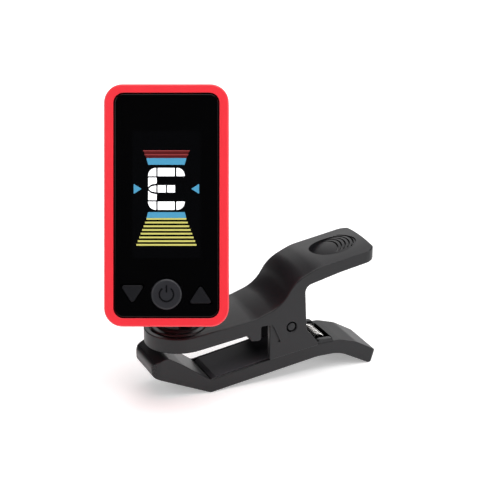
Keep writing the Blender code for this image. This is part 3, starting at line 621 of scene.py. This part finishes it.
def upper_jaw():
    side = rounded([
        (-14.5, NOSE_UNDER, 0), (-4.5, NOSE_UNDER, 8.0), (9.2, 13.9, 0.6), (9.6, 12.3, 0.7),
        (12.3, 12.0, 0.8), (12.3, 15.6, 0.4), (14.5, 15.6, 0.3), (14.5, 6.5, 0.4), (27.9, 8.2, 0.6),
        (24.2, 12.8, 1.5), (23.7, 24.0, 2.0), (33.0, 26.2, 9.0), (41.9, 27.8, 0.8),
        (LEVER_END_X + 0.1, 28.9, 0.6), (LEVER_END_X - 0.1, 31.4, 0.5), (27.0, 29.0, 12.0), (21.0, 26.4, 9.0),
        (17.6, 20.8, 9.0), (10.5, 18.3, 12.0), (-5.0, NOSE_TOP, 6.0), (-14.5, NOSE_TOP, 0)], 3)
    jaw = solid("upper_jaw_body", crowned(side, UPPER_WIDTH / 2))
    nose = UPPER_WIDTH / 2
    plan = rounded([(NOSE_X - nose, -nose, nose - 0.01), (LEVER_END_X, -nose, 2.8), (LEVER_END_X, nose, 2.8),
                    (NOSE_X - nose, nose, nose - 0.01)], 4)
    work(jaw, "INTERSECT", plate(plan, 2, 40))
    hollow = rounded([(13.9, 4.0, 0), (30.0, 4.0, 0), (30.0, 17.8, 0), (20.2, 17.8, 2.4),
                      (16.4, 16.6, 2.0), (13.9, 15.9, 0)])
    cut(jaw, side_plate(hollow, UPPER_WIDTH / 2 - CHEEK))
    tongue = rounded([(22.0, 12.6, 0.5), (24.0, 12.6, 0.5), (24.0, 19.5, 0), (22.0, 19.5, 0)])
    join(jaw, side_plate(tongue, 4.0))
    cut(jaw, cross_rod(PIVOT_BORE_R, 10, PIVOT_X, PIVOT_Z))
    cut(jaw, rod(TURRET_R + GAP, -SPOT_DEPTH, 6.0, steps=72, turn=NOSE))
    cut(jaw, rod(2.9, -6.0, 1.0, steps=40, turn=NOSE))
    cut(jaw, rod(4.9, -5.2, NOSE_UNDER + 1.5 - NOSE_TOP, steps=56, turn=NOSE))
    cut(jaw, plate(box_outline(7.6, 12.6, 0.8, (4.6, 0.0)), 10.5, 14.0))
    groove = [(14.6, 15.7), (15.3, 15.5), (17.3, 10.9), (16.7, 10.9)]
    ease(jaw, 0.25)
    cut(jaw, side_plate(groove, 0.35, -UPPER_WIDTH / 2), side_plate(groove, 0.35, UPPER_WIDTH / 2))
    return cut(jaw, thumb_rest(), *rest_grooves())


put(upper_jaw(), CLIP, "upper_jaw", "clip_plastic", CLIP_BLACK, "upper_jaw")

# %% [markdown]
# ## Repeated parts
# The wire of the spring, the four housing screws and the rows of lit strips are made with Geometry Nodes.
# This class builds a tree, runs it once, and keeps the plain mesh.

# %% Geometry Nodes helper
class Nodes:
    """A Geometry Nodes tree in the making, with named number inputs."""

    def __init__(self, name, finish, **inputs):
        self.tree = bpy.data.node_groups.new(name, "GeometryNodeTree")
        self.tree.interface.new_socket("Geometry", in_out="OUTPUT", socket_type="NodeSocketGeometry")
        self.sockets = {}
        self.values = inputs
        self.finish = finish
        for title, value in inputs.items():
            kind = "NodeSocketInt" if isinstance(value, int) else "NodeSocketFloat"
            self.sockets[title] = self.tree.interface.new_socket(title, in_out="INPUT", socket_type=kind)
        self.start = self.tree.nodes.new("NodeGroupInput")

    def add(self, kind, settings=None, inputs=None, output=0):
        """Add a node and give back one of its outputs."""
        node = self.tree.nodes.new(kind)
        for key, value in (settings or {}).items():
            setattr(node, key, value)
        for key, value in (inputs or {}).items():
            if isinstance(value, bpy.types.NodeSocket):
                self.tree.links.new(value, node.inputs[key])
            else:
                node.inputs[key].default_value = value
        return node.outputs[output]

    def given(self, title):
        return self.start.outputs[title]

    def sum(self, operation, first, second):
        return self.add("ShaderNodeMath", {"operation": operation}, {0: first, 1: second})

    def finish_with(self, geometry):
        """End the tree in real geometry with its material."""
        real = self.add("GeometryNodeRealizeInstances", inputs={"Geometry": geometry})
        done = self.add("GeometryNodeSetMaterial", inputs={"Geometry": real, "Material": self.finish})
        out = self.tree.nodes.new("NodeGroupOutput")
        self.tree.links.new(done, out.inputs[0])

    def grow(self, name):
        """Run the tree on an empty mesh and keep the plain mesh it makes."""
        obj = solid(name, bpy.data.meshes.new(name))
        step = obj.modifiers.new("grow", "NODES")
        step.node_group = self.tree
        for title, socket in self.sockets.items():
            step[socket.identifier] = self.values[title]
        settle(obj)
        return obj


# %% [markdown]
# The pivot pin runs through both cheeks and both ears, and its end shows on the side of the clip in a thin
# ring of shadow. The spring is a coil of steel wire on a second pin. One leg rests on the pocket's floor and
# the other lifts the upper jaw's tongue.

# %% Pins and spring
def pin(name, radius, reach, x, z, slot, finish, node):
    """A cross pin with slightly rounded ends."""
    profile = [(0, reach), (radius - 0.2, reach), (radius - 0.05, reach - 0.06), (radius, reach - 0.2)]
    profile += [(r, -height) for r, height in reversed(profile)]
    move = Matrix.Translation((x, 0, z)) @ SIDEWAYS
    return put(solid(name, turned(profile, 48, move)), CLIP, "lower_jaw", slot, finish, node)


PIVOT_PIN_R, PIVOT_REACH = 1.0, UPPER_WIDTH / 2 - 0.15
SPRING_REACH = LOWER_WIDTH / 2 - EAR_WALL + 0.6
pin("pivot_pin", PIVOT_PIN_R, PIVOT_REACH, PIVOT_X, PIVOT_Z, "clip_plastic", CLIP_BLACK, "jaw_pivot_pin")
pin("coil_pin", SPRING_PIN_R, SPRING_REACH, SPRING_X, SPRING_Z, "bright_steel", PIN_STEEL, "spring_pin")
COIL_R, WIRE_R, COIL_TURNS, COIL_PITCH = 1.2, 0.35, 6, 0.95
TURN_STEPS = 36


def spring_route():
    """The wire's own line: leg, coil, leg."""
    half = COIL_TURNS * COIL_PITCH / 2
    route = [Vector((22.9 + 1.7 * k, half, 11.8 - 0.9 * k)) for k in range(4)]
    steps = TURN_STEPS * COIL_TURNS + round(TURN_STEPS * 5 / 12)
    for k in range(steps + 1):
        angle = radians(60) - 2 * pi * k / TURN_STEPS
        across = half - k / steps * 2 * half
        route.append(Vector((SPRING_X + COIL_R * cos(angle), across, SPRING_Z + COIL_R * sin(angle))))
    route.append(route[-1] - Vector((2.0, 0, 0)))
    return route


def wire_nodes():
    """Give every edge of the incoming line a round wire."""
    nodes = Nodes("wire", SPRING_STEEL, Radius=WIRE_R)
    line = nodes.tree.interface.new_socket("Line", in_out="INPUT", socket_type="NodeSocketObject")
    nodes.sockets["Line"] = line
    shape = nodes.add("GeometryNodeObjectInfo", inputs={"Object": nodes.given("Line")}, output="Geometry")
    path = nodes.add("GeometryNodeMeshToCurve", inputs={"Mesh": shape})
    circle = nodes.add("GeometryNodeCurvePrimitiveCircle",
                       inputs={"Resolution": 16, "Radius": nodes.given("Radius")})
    wire = {"Curve": path, "Profile Curve": circle, "Fill Caps": True}
    nodes.finish_with(nodes.add("GeometryNodeCurveToMesh", inputs=wire))
    return nodes


def spring():
    route = spring_route()
    mesh = bpy.data.meshes.new("spring_line")
    mesh.from_pydata(route, [(k, k + 1) for k in range(len(route) - 1)], [])
    line = solid("spring_line", mesh)
    nodes = wire_nodes()
    nodes.values["Line"] = line
    made = nodes.grow("spring_coil")
    bpy.data.objects.remove(line)
    return made


coil = dress(spring(), CLIP, "bright_steel", SPRING_STEEL, "torsion_spring")
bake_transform(coil)

# %% [markdown]
# ## Turret and arm
# The turret turns on the nose. A single ear stands on it, and the tilting arm is lapped beside that ear on a
# steel pin. The arm's other end is a disc, which the head spins on. All of this is behind the head.

# %% Turret and arm
BARREL_R, TILT_HEIGHT, TILT_BORE_R = 2.8, 4.9, 1.4
ACROSS = Matrix.Rotation(pi / 2, 4, "Y")


def turret():
    seat = GAP - SPOT_DEPTH
    profile = [(0, 0.9), (4.2, 0.9), (4.9, 0.8), (5.2, 0.55), (5.35, 0.35), (6.2, 0.35), (6.5, 0.25),
               (TURRET_R, 0.0), (TURRET_R, seat), (2.6, seat), (2.6, -2.2), (0, -2.2)]
    base = solid("turret_body", turned(profile, 72))
    ear_top = TILT_HEIGHT + BARREL_R
    ear = rounded([(-BARREL_R, 0.5, 0), (BARREL_R, 0.5, 0), (BARREL_R, ear_top, BARREL_R - 0.01),
                   (-BARREL_R, ear_top, BARREL_R - 0.01)])
    join(base, plate(ear, 0.12, 3.6, UPRIGHT))
    cut(base, rod(TILT_BORE_R, -6, 6, (0, 0, TILT_HEIGHT), turn=ACROSS), rod(1.2, -4, 0.4))
    return ease(base, 0.18)


put(turret(), TURRET, "turret", "clip_plastic", CLIP_BLACK, "swivel_turret")


def tilt_arm():
    low, back = TILT_PIN.y, TILT_PIN.z
    arm = solid("arm_body", rod(6.0, -1.9, -GAP, steps=72))
    bar = rounded([(low - BARREL_R, back - BARREL_R, BARREL_R - 0.01), (low + 3.0, back - BARREL_R, 4.0),
                   (4.4, -3.2, 0.8), (4.4, -1.6, 0), (-5.6, -1.6, 0), (-6.6, BARREL_R + back, 0.4),
                   (low - BARREL_R, BARREL_R + back, BARREL_R - 0.01)])
    join(arm, plate(bar, -1.85, 1.85, UPRIGHT))
    cut(arm, rod(TILT_BORE_R, -6, 6, TILT_PIN, turn=ACROSS), rod(1.8, -4.4, 1), rod(3.1, -8, -2.2))
    return ease(arm, 0.22)


put(tilt_arm(), HEAD, "tilt_arm", "clip_plastic", CLIP_BLACK, "tilt_arm")


def tilt_pin():
    """A headed pin across the turret's ear and the arm."""
    profile = [(0, 4.0), (0.9, 4.0), (1.1, 3.8), (1.1, -4.2), (1.9, -4.2), (1.9, -4.75), (1.75, -4.95),
               (1.4, -5.0), (0, -5.0)]
    return solid("tilt_pin_body", turned(profile, 48, Matrix.Translation((0, 0, TILT_HEIGHT)) @ ACROSS))


put(tilt_pin(), TURRET, "turret", "bright_steel", PIN_STEEL, "tilt_pin")

# %% [markdown]
# ## The head
# Two red shells meet at a thin line round the side. The front one is an open frame with a narrow bezel, and
# the black window sits in it, a little below the bezel's face. The shells are drawn with the same outline.

# %% Shells
HEAD_W, HEAD_H, HEAD_D, HEAD_CORNER = 28.2, 54.8, 12.0, 4.2
MID = (0.0, 7.4)
SHELL, SPLIT, BEZEL = 1.2, 5.2, 1.0
OPEN_W, OPEN_H = 24.0, 51.0
DOOR_R = 11.0
SCREW_X, SCREW_UP = 10.8, 24.8
POST_R, POST_BORE_R = 2.1, 1.0
SCREWS = [(x, MID[1] + y) for y in (-SCREW_UP, SCREW_UP) for x in (-SCREW_X, SCREW_X)]


def shell_blank(name, low, high, ease_width):
    outline = box_outline(HEAD_W, HEAD_H, HEAD_CORNER, MID, 4)
    return ease(solid(name, plate(outline, low, high)), ease_width, 5)


def cavity(low, high):
    return plate(box_outline(HEAD_W - 2 * SHELL, HEAD_H - 2 * SHELL, HEAD_CORNER - SHELL, MID), low, high)


def slab_between(low, high):
    """A block wider than the head, to cut it off at a level."""
    return plate(box_outline(60, 90, 0, MID), low, high)


def front_frame():
    frame_piece = shell_blank("frame_body", 0, HEAD_D, 0.38)
    cut(frame_piece, slab_between(-2, SPLIT + GAP / 2))
    cut(frame_piece, cavity(0, HEAD_D - BEZEL))
    cut(frame_piece, plate(box_outline(OPEN_W, OPEN_H, 2.3, MID), 8, 14))
    for x, y in SCREWS:
        join(frame_piece, rod(POST_R, SPLIT + 0.4, 9.6, (x, y, 0)))
        cut(frame_piece, rod(POST_BORE_R, 3, 8.8, (x, y, 0), 24))
    return ease(frame_piece, 0.12, 2, 50)


def rear_cover():
    cover = shell_blank("cover_body", 0, HEAD_D, 1.0)
    cut(cover, slab_between(SPLIT - GAP / 2, 20))
    cut(cover, cavity(SHELL, 9))
    to_door = Matrix.Translation((0, DOOR_Y, 0))
    notches = [to_door @ Matrix.Rotation(radians(120 * k), 4, "Z") for k in range(3)]
    cut(cover, rod(DOOR_R + GAP, -1, 3, (0, DOOR_Y, 0), 96))
    cut(cover, *[plate(box_outline(3.4, 1.8, 0.3, (0, DOOR_R + 0.2)), -1, 3, turn) for turn in notches])
    cut(cover, rod(1.5 + GAP, -1, 3))
    for x, y in SCREWS:
        join(cover, rod(POST_R, 0.7, SPLIT - 0.4, (x, y, 0)))
        cut(cover, rod(POST_BORE_R, -1, 8, (x, y, 0), 24), rod(1.5, -1.2, 1.05, (x, y, 0), 36))
    return ease(cover, 0.12, 2, 50)


put(front_frame(), HEAD, "head", "red_shell", SHELL_RED, "front_frame")
put(rear_cover(), HEAD, "head", "red_shell", SHELL_RED, "rear_cover")

# %% [markdown]
# The battery door turns a part-turn under the cover's rim on three tabs, and it has a slot for a coin. The
# four housing screws are one screw with a cross recess, placed on a grid.

# %% Battery door and screws
def battery_door():
    skirt = DOOR_R - 0.3
    profile = [(0, 1.1), (DOOR_R - 1.5, 1.1), (DOOR_R - 1.5, 1.75), (skirt, 1.75), (skirt, 1.3),
               (DOOR_R, 1.1), (DOOR_R, 0.3), (skirt, 0.05), (skirt - 0.3, 0.0), (0, 0.0)]
    door = solid("door_body", turned(profile, 96))
    for k in range(3):
        turn = Matrix.Rotation(radians(120 * k + 40), 4, "Z")
        join(door, plate(box_outline(2.8, 2.0, 0.2, (0, DOOR_R - 0.2)), 1.5, 1.8, turn))
    cut(door, plate(box_outline(13.0, 1.8, 0.85), -1, 0.6))
    return ease(door, 0.1, 2, 50)


put(battery_door(), DOOR, "battery_door", "red_shell", SHELL_RED, "battery_door")


def screw_mesh():
    """A pan-head screw whose head is sunk in the cover."""
    profile = [(0, 8.2), (0.7, 8.2), (0.7, 0.75), (1.05, 0.75), (1.2, 0.6), (1.2, 0.35), (1.1, 0.18),
               (0.85, 0.1), (0, 0.1)]
    screw = solid("screw_pattern", turned(profile, 40))
    for size in ((1.4, 0.34), (0.34, 1.4)):
        cut(screw, plate(box_outline(*size), -1, 0.5))
    screw.data.shade_smooth()
    return screw


def screw_nodes():
    """Place one screw on each point of a two by two grid."""
    nodes = Nodes("housing_screws", BLACK_ZINC, Across=2 * SCREW_X, Up=2 * SCREW_UP)
    pattern = nodes.tree.interface.new_socket("Screw", in_out="INPUT", socket_type="NodeSocketObject")
    nodes.sockets["Screw"] = pattern
    size = {"Size X": nodes.given("Across"), "Size Y": nodes.given("Up")}
    grid = nodes.add("GeometryNodeMeshGrid", inputs={**size, "Vertices X": 2, "Vertices Y": 2})
    screw = nodes.add("GeometryNodeObjectInfo", inputs={"Object": nodes.given("Screw")}, output="Geometry")
    nodes.finish_with(nodes.add("GeometryNodeInstanceOnPoints", inputs={"Points": grid, "Instance": screw}))
    return nodes


def housing_screws():
    pattern = screw_mesh()
    nodes = screw_nodes()
    nodes.values["Screw"] = pattern
    screws = nodes.grow("housing_screws")
    bpy.data.objects.remove(pattern)
    return screws


put(housing_screws(), HEAD @ Matrix.Translation((*MID, 0)), "head", "black_zinc", BLACK_ZINC,
    *[f"housing_screw_{k}" for k in range(1, 5)])

# %% [markdown]
# ## Window and keys
# The window is a lens with a step: a flange behind the bezel and a raised face with a polished round edge.
# Three holes let the keys through. Each key stands a fifth of a millimetre proud of the face.

# %% Window
FACE = 11.7
FLANGE_LOW, FLANGE_HIGH = 10.1, 10.7
KEY_Y, KEY_SPREAD, POWER_R = -12.7, 7.7, 3.5
KEY_TOP, KEY_FOOT = 11.9, 8.4
TRIANGLE_W, TRIANGLE_H = 5.4, 4.1
ARROWS = (("down_button", -KEY_SPREAD, -1), ("up_button", KEY_SPREAD, 1))


def triangle(width, height, corner, way):
    """A key's outline about its middle, pointing up (1) or down (-1)."""
    tip = way * height / 2
    corners = [(-width / 2, -tip, corner), (width / 2, -tip, corner), (0, tip, corner)]
    return rounded(corners[::way], 8)


def window():
    lens = solid("window_body", plate(box_outline(OPEN_W - 0.4, OPEN_H - 0.4, 2.1, MID), 10.5, FACE))
    ease(lens, 0.3, 4)
    join(lens, plate(box_outline(24.8, 51.2, 2.6, MID), FLANGE_LOW, FLANGE_HIGH))
    cut(lens, plate(box_outline(21.4, 40.0, 0.6, (0.0, MID[1] + 3.4)), 9, FLANGE_HIGH))
    cut(lens, rod(POWER_R + 0.25, 8, 14, (0, KEY_Y, 0), 96))
    for _, x, way in ARROWS:
        hole = triangle(TRIANGLE_W + 0.9, TRIANGLE_H + 0.7, 0.5, way)
        cut(lens, plate(hole, 8, 14, Matrix.Translation((x, KEY_Y, 0))))
    cut(lens, *[rod(2.3, 9, 10.6, (x, y, 0)) for x, y in SCREWS])
    tidy(lens)
    chart = lens.data.uv_layers.new(name="face_mm")
    for loop in lens.data.loops:
        place = lens.data.vertices[loop.vertex_index].co
        chart.data[loop.index].uv = (place.x, place.y - MID[1])
    return lens


put(window(), HEAD, "head", "window_black", WINDOW_BLACK, "display_window")

# %% Keys
POWER_MARK = (band(1.6, 0.2, 125, 415), box_outline(0.4, 1.7, 0.15, (0, 1.25)))


def power_key():
    profile = [(0, KEY_TOP), (POWER_R - 0.45, KEY_TOP), (POWER_R - 0.2, 11.85), (POWER_R - 0.05, 11.72),
               (POWER_R, 11.5), (POWER_R, 9.8), (POWER_R + 0.7, 9.8), (POWER_R + 0.7, 9.3), (1.4, 9.3),
               (1.4, KEY_FOOT), (0, KEY_FOOT)]
    key = solid("power_key", turned(profile, 96))
    cut(key, *[plate(outline, 11.7, 13) for outline in POWER_MARK])
    return key


def power_mark():
    """A near-black sheet in the round key's engraved mark: painted shade that darkens the groove."""
    shade_sheet = bmesh.new()
    for outline in POWER_MARK:
        shade_sheet.from_mesh(plate(outline, 11.68, 11.76))
    return solid("power_mark", to_mesh(shade_sheet))


def arrow_key(name, way):
    key = solid(name, plate(triangle(TRIANGLE_W, TRIANGLE_H, 0.45, way), 9.5, KEY_TOP))
    ease(key, 0.2)
    skirt = plate(triangle(TRIANGLE_W + 1.2, TRIANGLE_H + 0.9, 0.5, way), 9.3, 9.8)
    return join(key, skirt, rod(0.9, KEY_FOOT, 9.6))


POWER_PLACE = HEAD @ Matrix.Translation((0, KEY_Y, 0))
put(power_key(), POWER_PLACE, "power_button", "key_plastic", KEY_GREY, "power_button")
# The near-black sheet in the key's engraved mark is painted shade for the groove.
put(power_mark(), POWER_PLACE, "power_button", "window_black", MARK_SHADE_BLACK)
for node, x, way in ARROWS:
    key = arrow_key(node.replace("button", "key"), way)
    put(key, HEAD @ Matrix.Translation((x, KEY_Y, 0)), node, "key_plastic", ARROW_GREY, node)

# %% [markdown]
# ## The read-out
# The display is printed with coloured patches that light up from behind: a red field, two blue bands, the
# note's letter in separate white segments, two blue pointers, and a stack of yellow bars that widens
# downwards. All the patches lie a few hundredths of a millimetre over the window's face.

# %% Patches
FILM = (FACE, FACE + 0.03)
NOTE_Y = 3.75


def patches(name, outlines, finish):
    """Flat patches of one colour, drawn about the middle of the head's face."""
    whole = bmesh.new()
    for outline in outlines:
        whole.from_mesh(plate(outline, *FILM))
    piece = solid(name, to_mesh(whole))
    return put(piece, HEAD @ Matrix.Translation((*MID, 0)), "head", "lcd_glass", finish)


def tapered(top, top_width, bottom, bottom_width, corner=0.12):
    """A band between two levels whose width changes evenly."""
    return rounded([(-bottom_width / 2, bottom, corner), (bottom_width / 2, bottom, corner),
                    (top_width / 2, top, corner), (-top_width / 2, top, corner)])


def mirrored(outline, across=False):
    """The same outline turned over about the note's own middle."""
    if across:
        return [Vector((-x, y)) for x, y in reversed(outline)]
    return [Vector((x, 2 * NOTE_Y - y)) for x, y in reversed(outline)]


def block(left, low, right, high, *corners):
    """A segment of the note; corners are radii from the lower left, anticlockwise."""
    low, high = low + NOTE_Y, high + NOTE_Y
    places = [(left, low), (right, low), (right, high), (left, high)]
    return rounded([(*place, radius) for place, radius in zip(places, corners)])


def note_outlines():
    upper = [block(-4.13, 2.86, -2.30, 4.74, 0.1, 0.1, 0.1, 1.75), block(-1.98, 2.86, 1.88, 4.74, *[0.1] * 4),
             block(2.26, 2.86, 4.13, 4.74, 0.1, 0.1, 1.75, 0.1),
             rounded([(-4.13, NOTE_Y + 0.42, 0.05), (-3.4, NOTE_Y + 1.02, 1.5), (-2.2, NOTE_Y + 1.22, 0.1),
                      (-2.2, NOTE_Y + 2.55, 0.1), (-4.13, NOTE_Y + 2.55, 0.1)])]
    point = rounded([(-4.05, NOTE_Y, 0.05), (-3.4, NOTE_Y - 0.58, 1.2), (-2.3, NOTE_Y - 0.78, 0.1),
                     (-2.3, NOTE_Y + 0.78, 0.1), (-3.4, NOTE_Y + 0.58, 1.2)])
    middle = [point, block(-1.98, -0.82, -0.1, 0.82, *[0.1] * 4), block(0.2, -0.82, 1.95, 0.82, *[0.1] * 4)]
    return upper + [mirrored(outline) for outline in upper] + middle


pointer = rounded([(-7.4, NOTE_Y - 1.15, 0.1), (-5.6, NOTE_Y, 0.1), (-7.4, NOTE_Y + 1.15, 0.1)])
patches("red_field", [tapered(12.4, 10.4, 10.7, 9.1)], FIELD_RED)
patches("blue_bands", [tapered(10.7, 9.1, 9.2, 8.2), tapered(-1.5, 8.3, -2.9, 9.0)], BAND_BLUE)
patches("blue_pointers", [pointer, mirrored(pointer, across=True)], BAND_BLUE)
patches("note_letter", note_outlines(), NOTE_WHITE)

# %% [markdown]
# The bars and the red field's lines are rows of thin strips whose length changes evenly, so one tree makes
# both. It puts a strip on each point of a row and stretches it by the point's own number.

# %% Rows of strips
def strip_nodes(name, finish, **inputs):
    """A tree that stacks strips and changes their length evenly."""
    nodes = Nodes(name, finish, **inputs)
    offset = nodes.add("ShaderNodeCombineXYZ", inputs={"Y": nodes.given("Step")})
    row = nodes.add("GeometryNodeMeshLine", inputs={"Count": nodes.given("Count"), "Offset": offset})
    size = nodes.add("ShaderNodeCombineXYZ",
                     inputs={"X": 1.0, "Y": nodes.given("Thickness"), "Z": FILM[1] - FILM[0]})
    strip = nodes.add("GeometryNodeMeshCube", inputs={"Size": size})
    grown = nodes.sum("MULTIPLY", nodes.add("GeometryNodeInputIndex"), nodes.given("Growth"))
    length = nodes.sum("ADD", grown, nodes.given("First"))
    scale = nodes.add("ShaderNodeCombineXYZ", inputs={"X": length, "Y": 1.0, "Z": 1.0})
    placed = {"Points": row, "Instance": strip, "Scale": scale}
    nodes.finish_with(nodes.add("GeometryNodeInstanceOnPoints", inputs=placed))
    return nodes


def strips(name, finish, top, lift=0.0, **inputs):
    """Put a row of strips on the face, its first one top above the face's middle."""
    place = HEAD @ Matrix.Translation((0, MID[1] + top, sum(FILM) / 2 + lift))
    row = strip_nodes(name, finish, **inputs).grow(name)
    return put(row, place, "head", "lcd_glass", finish)


strips("yellow_bars", BAR_YELLOW, -3.02, Count=8, Step=-0.84, Thickness=0.4, First=9.0, Growth=0.657)
strips("red_lines", LINE_RED, 12.35, 0.02, Count=2, Step=-0.9, Thickness=0.17, First=10.5, Growth=-0.6)

# %% [markdown]
# ## The pieces kept from the CAD
# What is inside the head, and the small metal parts behind it, already have their true shape. They only need
# a finish.

# %% Finishes for the kept nodes
KEPT = {
    GRIP_RUBBER: ["lcd_connector"], LCD_GLASS: ["lcd_panel"], GUIDE_MILKY: ["light_guide"],
    BOARD_GREEN: ["circuit_board"], CHIP_RESIN: ["control_chip"],
    PIN_STEEL: ["switch_down", "switch_power", "switch_up", "turret_washer"],
    SHEET_BRASS: ["piezo_sensor", "contact_negative", "contact_positive", "spin_nut"],
    CELL_NICKEL: ["coin_cell"], RING_WHITE: ["battery_ring"], BLACK_ZINC: ["turret_screw", "spin_screw"],
}
for finish, names in KEPT.items():
    for name in names:
        data = frame["nodes"][name].data
        data.materials.clear()
        data.materials.append(finish)
print("kept nodes:", sum(len(names) for names in KEPT.values()))

# %% [markdown]
# ## Camera and light
# The camera looks down on the clip from its left front, straight at the window, through a long lens. A large
# softbox hangs overhead and two stand at the sides, far enough round that the polished window doesn't mirror
# them. The table and the surroundings are plain and pale.

# %% Camera
camera = bpy.data.objects.new("camera", bpy.data.cameras.new("camera"))
bpy.context.scene.collection.objects.link(camera)
camera.data.lens = 125.625
camera.data.clip_start = 0.02
camera.location = (-0.144488, -0.337302, 0.179759)
camera.rotation_euler = (radians(68.5), 0, radians(-23.4))
bpy.context.scene.camera = camera

# %% Light
LOOK_AT = Vector((0, 0, 0.03))


def softbox(name, place, size, power):
    """A square light that faces the tuner."""
    light = bpy.data.lights.new(name, "AREA")
    light.size = size
    light.energy = power
    obj = bpy.data.objects.new(name, light)
    bpy.context.scene.collection.objects.link(obj)
    obj.location = place
    obj.rotation_euler = (LOOK_AT - obj.location).to_track_quat("-Z", "Y").to_euler()


softbox("overhead", (0.05, -0.15, 0.95), 1.0, 10.0)
softbox("front_left", (-0.80, -0.30, 0.55), 0.5, 2.2)
softbox("front_right", (0.65, -0.80, 0.40), 0.6, 4.5)
softbox("behind", (0.45, 0.80, 0.60), 0.9, 3.2)

world = bpy.data.worlds.new("room")
world.use_nodes = True
room = world.node_tree.nodes["Background"].inputs
room["Color"].default_value = (0.9, 0.9, 0.9, 1)
room["Strength"].default_value = 0.05
bpy.context.scene.world = world
bpy.context.scene.view_settings.view_transform = "Standard"

# %% Table
paper = Paint("table_white", (0.9, 0.9, 0.9), 0.9, Emission_Strength=0.34)
fibre = paper.noise(3.0)
paper.put("Base Color", paper.blend(fibre, (0.89, 0.89, 0.89), (0.91, 0.91, 0.91)))
paper.put("Emission Color", (1, 1, 1, 1))
table = solid("table", plate(box_outline(8.0, 8.0), -0.05, 0.0))
table.data.materials.append(paper.material)
